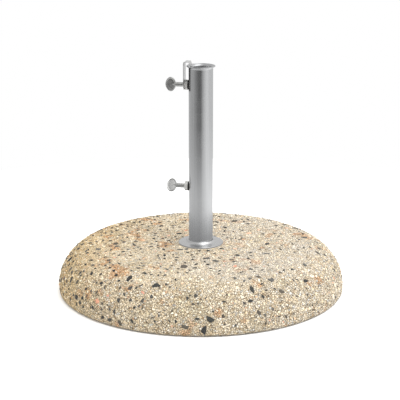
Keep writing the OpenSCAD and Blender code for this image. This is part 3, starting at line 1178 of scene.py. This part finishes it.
def strip_hook():
    """Outer leg with its eye, and the bridge over the rim, up to the top of the inner leg."""
    ring = 64
    verts, faces = [], []
    for c, s in turns(ring):
        verts.append((STRIP_OUT_X, STRIP_EYE_R * c, UPPER_Z + STRIP_EYE_R * s))
    for c, s in turns(ring):
        out = STRIP_W / 2
        if s > 0:
            out /= max(abs(c), s)
        verts.append((STRIP_OUT_X, out * c, UPPER_Z + out * s))
    for i in range(ring):
        j = (i + 1) % ring
        faces.append((i, j, ring + j, ring + i))
    columns = strip_columns()
    path = []
    start = UPPER_Z + STRIP_W / 2
    for i in range(1, 7):
        path.append((STRIP_OUT_X, start + (STRIP_SPLIT_Z - start) * i / 6))
    path += arc(STRIP_OUT_X + STRIP_BEND, STRIP_SPLIT_Z, STRIP_BEND, 180, 90, 8)[1:]
    path += [(STRIP_IN_X - STRIP_BEND, STRIP_TOP_Z)]
    path += arc(STRIP_IN_X - STRIP_BEND, STRIP_SPLIT_Z, STRIP_BEND, 90, 0, 8)[1:]
    rows = [[ring + ring // 8 + i for i in range(ring // 4 + 1)]]
    for x, z in path:
        rows.append(add_row(verts, [(x, y, z) for y in columns]))
    faces += rows_to_faces(rows)
    return finished_sheet("clamp_strip_hook", verts, faces)


def strip_leg():
    """Inner leg: flat at the top, arched across to the bore's curve below."""
    columns = strip_columns()
    z_end = STRIP_LO.z
    z_arched = STRIP_SPLIT_Z - 14 * MM
    verts, rows = [], []
    count = 24
    for i in range(count + 1):
        z = STRIP_SPLIT_Z + (z_end - STRIP_SPLIT_Z) * i / count
        arch = eased(limited((STRIP_SPLIT_Z - z) / (STRIP_SPLIT_Z - z_arched)))
        points = []
        for y in columns:
            curve = STRIP_ARCH_X - math.sqrt(STRIP_ARCH_R**2 - y * y)
            points.append((STRIP_IN_X + (curve - STRIP_IN_X) * arch, y, z))
        rows.append(add_row(verts, points))
    return finished_sheet("clamp_strip_leg", verts, rows_to_faces(rows))


hook = strip_hook()
leg = strip_leg()
for piece in (hook, leg):
    paint(piece, STRIP_STEEL)
    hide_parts("clamp_strip")
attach(hook, "stand")
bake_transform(leg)


# ---- frame nodes that stay as they are ----


for material, names in (
    (SATIN, ("upper_insert", "lower_insert")),
    (ZINC, ("centre_bolt", "spring_washer", "wide_washer")),
    (PIPE_STEEL, ("foot_plate",)),
    (RUBBER, ("upper_seal_ring", "lower_seal_ring", "floor_pads")),
    (PLASTIC, ("upper_tip_cap", "lower_tip_cap")),
):
    for name in names:
        paint(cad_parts[name], material)


# ---- camera ----

CAMERA_TURN = math.radians(12.5)
CAMERA_PITCH = math.radians(15.47)
CAMERA_FAR = 2.686
AIM_Z = 0.1897
AIM_LEFT = 1.8 * MM
LENS = 115.5
# Level ways to the camera's side of the object and to its right.
FRONT = (math.sin(CAMERA_TURN), -math.cos(CAMERA_TURN), 0)
RIGHT = (math.cos(CAMERA_TURN), math.sin(CAMERA_TURN), 0)


def photo_camera():
    level = math.cos(CAMERA_PITCH)
    back = Vector((FRONT[0] * level, FRONT[1] * level, math.sin(CAMERA_PITCH)))
    aim = Vector((0, 0, AIM_Z)) - Vector(RIGHT) * AIM_LEFT
    data = bpy.data.cameras.new("camera")
    data.lens = LENS
    data.sensor_width = 36
    data.clip_start = 0.05
    data.clip_end = 60
    bpy.context.scene.camera = placed("camera", data, aim + back * CAMERA_FAR, -back)


photo_camera()


# ---- floor and light ----


FLOOR_R = 1.15
RING = 96


def floor_look():
    look = Look("pale_floor", Roughness=0.9, Specular_IOR_Level=0.1)
    tone = look.spread(look.noise(9.0, detail=3.0), 0.3, 0.7, 0.89, 0.91)
    look.to_surface(look.grey(tone), "Base Color")
    return look.mat


def floor():
    """A round pale table top, wide enough to fill the view."""
    obj = mesh_object("studio_floor", ring_points(FLOOR_R, 0, RING), [tuple(range(RING))])
    paint(obj, floor_look())
    obj.visible_glossy = False


def softbox(name, place, aim, size, power):
    data = bpy.data.lights.new(name, "AREA")
    data.shape = "RECTANGLE"
    data.size = size
    data.size_y = size
    data.energy = power
    obj = placed(name, data, place, Vector(aim) - Vector(place))
    obj.visible_glossy = False


# Brightness of the studio round the object, as metal sees it far off: angle in degrees from
# the front, positive to the right, and grey level.
STUDIO_ROUND = (
    (-180, 0.62), (-131, 0.54), (-100, 0.44), (-75, 0.42),
    (-60, 0.31), (-35, 0.17), (-17, 0.09), (2, 0.07),
    (10, 0.27), (20, 0.47), (35, 0.62), (55, 0.84),
    (66, 0.84), (86, 0.70), (113, 0.72), (180, 0.62),
)

# The same overhead.
STUDIO_OVER = (
    (-180, 0.29), (-90, 0.26), (-40, 0.25), (-10, 0.42),
    (25, 0.74), (52, 1.00), (75, 0.60), (110, 0.32),
    (180, 0.29),
)

# The same close by, at the front: distance from the axis in metres and grey level.
STUDIO_NEAR = (
    (0.049, 0.05), (0.053, 0.24), (0.15, 0.40), (0.22, 0.46),
    (0.29, 0.68), (0.42, 0.75),
)
NEAR_RIGHT = 1.5
NEAR_ENDS = 0.70
FAR_STARTS = 1.65

# What the stone and the floor see.
LIGHT_LEFT = 0.55
LIGHT_RIGHT = 0.88
LIGHT_OVERHEAD = 3.22
TINT_LEFT = (1.01, 1.0, 0.96)
TINT_RIGHT = (1.0, 1.0, 1.02)
# What the metal sees.
OVERHEAD_SCALE = 2.2
# Glow of the black card that paints the gap's shade into the pipe's reflection.
FLAG_GLOW = 0.06


def headings(nodes, vector):
    """How far a vector points to the front and to the right of the camera."""
    return [
        nodes.node("VectorMath", {0: vector, 1: side}, operation="DOT_PRODUCT").outputs["Value"]
        for side in (FRONT, RIGHT)
    ]


def grey_stops(table, start=0.0, span=1.0):
    return [((place - start) / span, (grey, grey, grey)) for place, grey in table]


def studio_round(nodes, ahead, aside, table=STUDIO_ROUND):
    """Grey level of the studio in one heading."""
    turn = nodes.spread(nodes.math("ARCTAN2", aside, ahead), -math.pi, math.pi)
    return nodes.ramp(turn, grey_stops(table, -180, 360))


def metal_sees(nodes, ahead, aside, up):
    above = studio_round(nodes, ahead, aside, STUDIO_OVER)
    above = nodes.math("MULTIPLY", above, OVERHEAD_SCALE)
    over = nodes.spread(up, 0.35, 0.75)
    return nodes.node("Mix", {0: over, 2: studio_round(nodes, ahead, aside), 3: above}).outputs[0]


def stone_sees(nodes, aside, up):
    level = nodes.spread(aside, -1, 1, LIGHT_LEFT, LIGHT_RIGHT)
    return nodes.math("MULTIPLY", level, nodes.spread(up, 0, 1, 1.0, LIGHT_OVERHEAD))


def studio_world():
    """Even light for the floor and stone, softer on the left; light and dark panels for metal."""
    world = bpy.data.worlds.new("studio")
    bpy.context.scene.world = world
    world.use_nodes = True
    nodes = Nodes(world.node_tree)
    way = nodes.node("TexCoord").outputs["Generated"]
    ahead, aside = headings(nodes, way)
    up = nodes.node("SeparateXYZ", {0: way}).outputs["Z"]
    path = nodes.node("LightPath").outputs
    metal, stone = metal_sees(nodes, ahead, aside, up), stone_sees(nodes, aside, up)
    seen = nodes.node("Mix", {0: path["Is Glossy Ray"], 2: stone, 3: metal}).outputs[0]
    seen = nodes.node("Mix", {0: path["Is Camera Ray"], 2: seen, 3: 1.0}).outputs[0]
    tint = nodes.ramp(nodes.spread(aside, -1, 1), ((0, TINT_LEFT), (1, TINT_RIGHT)))
    plain = nodes.math("ADD", path["Is Camera Ray"], path["Is Glossy Ray"])
    hue = nodes.mix(plain, tint, (1, 1, 1))
    background = nodes.node("Background", {"Strength": seen, "Color": hue})
    nodes.node("OutputWorld", {"Surface": background.outputs[0]})


def card(nodes, shader, verts, faces):
    """A stage card with its shader that only the metal's reflections see."""
    nodes.node("OutputMaterial", {"Surface": shader.outputs[0]})
    obj = mesh_object(nodes.mat.name, verts, faces)
    paint(obj, nodes.mat)
    for kind in ("camera", "diffuse", "shadow", "transmission", "volume_scatter"):
        setattr(obj, "visible_" + kind, False)


def grey_card():
    """A glowing card over stone and floor, darker towards the pipe."""
    nodes = Material("grey_card")
    nodes.mat.cycles.emission_sampling = "NONE"
    place = nodes.node("TexCoord").outputs["Object"]
    ahead, aside = headings(nodes, place)
    distance = nodes.node("VectorMath", {0: place}, operation="LENGTH").outputs["Value"]
    span = STUDIO_NEAR[-1][0]
    near = nodes.ramp(nodes.math("DIVIDE", distance, span), grey_stops(STUDIO_NEAR, 0, span))
    right = nodes.spread(nodes.math("DIVIDE", aside, distance), 0, 1, 1, NEAR_RIGHT)
    near = nodes.math("MULTIPLY", near, right)
    fade = nodes.math("POWER", nodes.spread(distance, FAR_STARTS, NEAR_ENDS), 1.5)
    far = studio_round(nodes, ahead, aside)
    glow = nodes.node("Mix", {0: fade, 2: far, 3: near}).outputs[0]

    clear = 2.5 * MM
    low = 1 * MM
    section = [(ROSETTE_HI.x + 0.5 * MM, BASE_Z1 - 0.5 * MM), (ROSETTE_HI.x + 5 * MM, BASE_Z1 + clear)]
    section += arc(FLAT_R, SHOULDER_Z, SHOULDER_R + clear, 90, 0, 6)
    section += [(BASE_R + clear, low), (FAR_STARTS + 0.15, low)]
    verts = [p for r, z in section for p in ring_points(r, z, RING)]
    faces = ring_faces(len(section), RING)
    card(nodes, nodes.node("Emission", {"Strength": glow}), verts, faces)


def gap_shade_flag():
    """Painted shade: a black card in the shaded gap between strip and pipe, seen only in the pipe's
    reflection, clear from behind.
    """
    nodes = Material("gap_shade_flag")
    emission = nodes.node("Emission", {"Strength": FLAG_GLOW}).outputs[0]
    behind = nodes.node("NewGeometry").outputs["Backfacing"]
    clear = nodes.node("BsdfTransparent").outputs[0]
    shader = nodes.node("MixShader", {0: behind, 1: emission, 2: clear})
    x = STRIP_OUT_X + STRIP_T
    half = STRIP_W / 2 + 3 * MM
    verts = [(x, y, z) for z in (UPPER_Z - half, RIM_Z - 1 * MM) for y in (-half, half)]
    card(nodes, shader, verts, [(0, 1, 3, 2)])


floor()
grey_card()
gap_shade_flag()
studio_world()
softbox("key", (1.8, -0.7, 2.4), (0, 0, 0.1), 1.3, 36)

scene = bpy.context.scene
scene.view_settings.view_transform = "Standard"
scene.view_settings.look = "None"

bpy.context.view_layer.update()
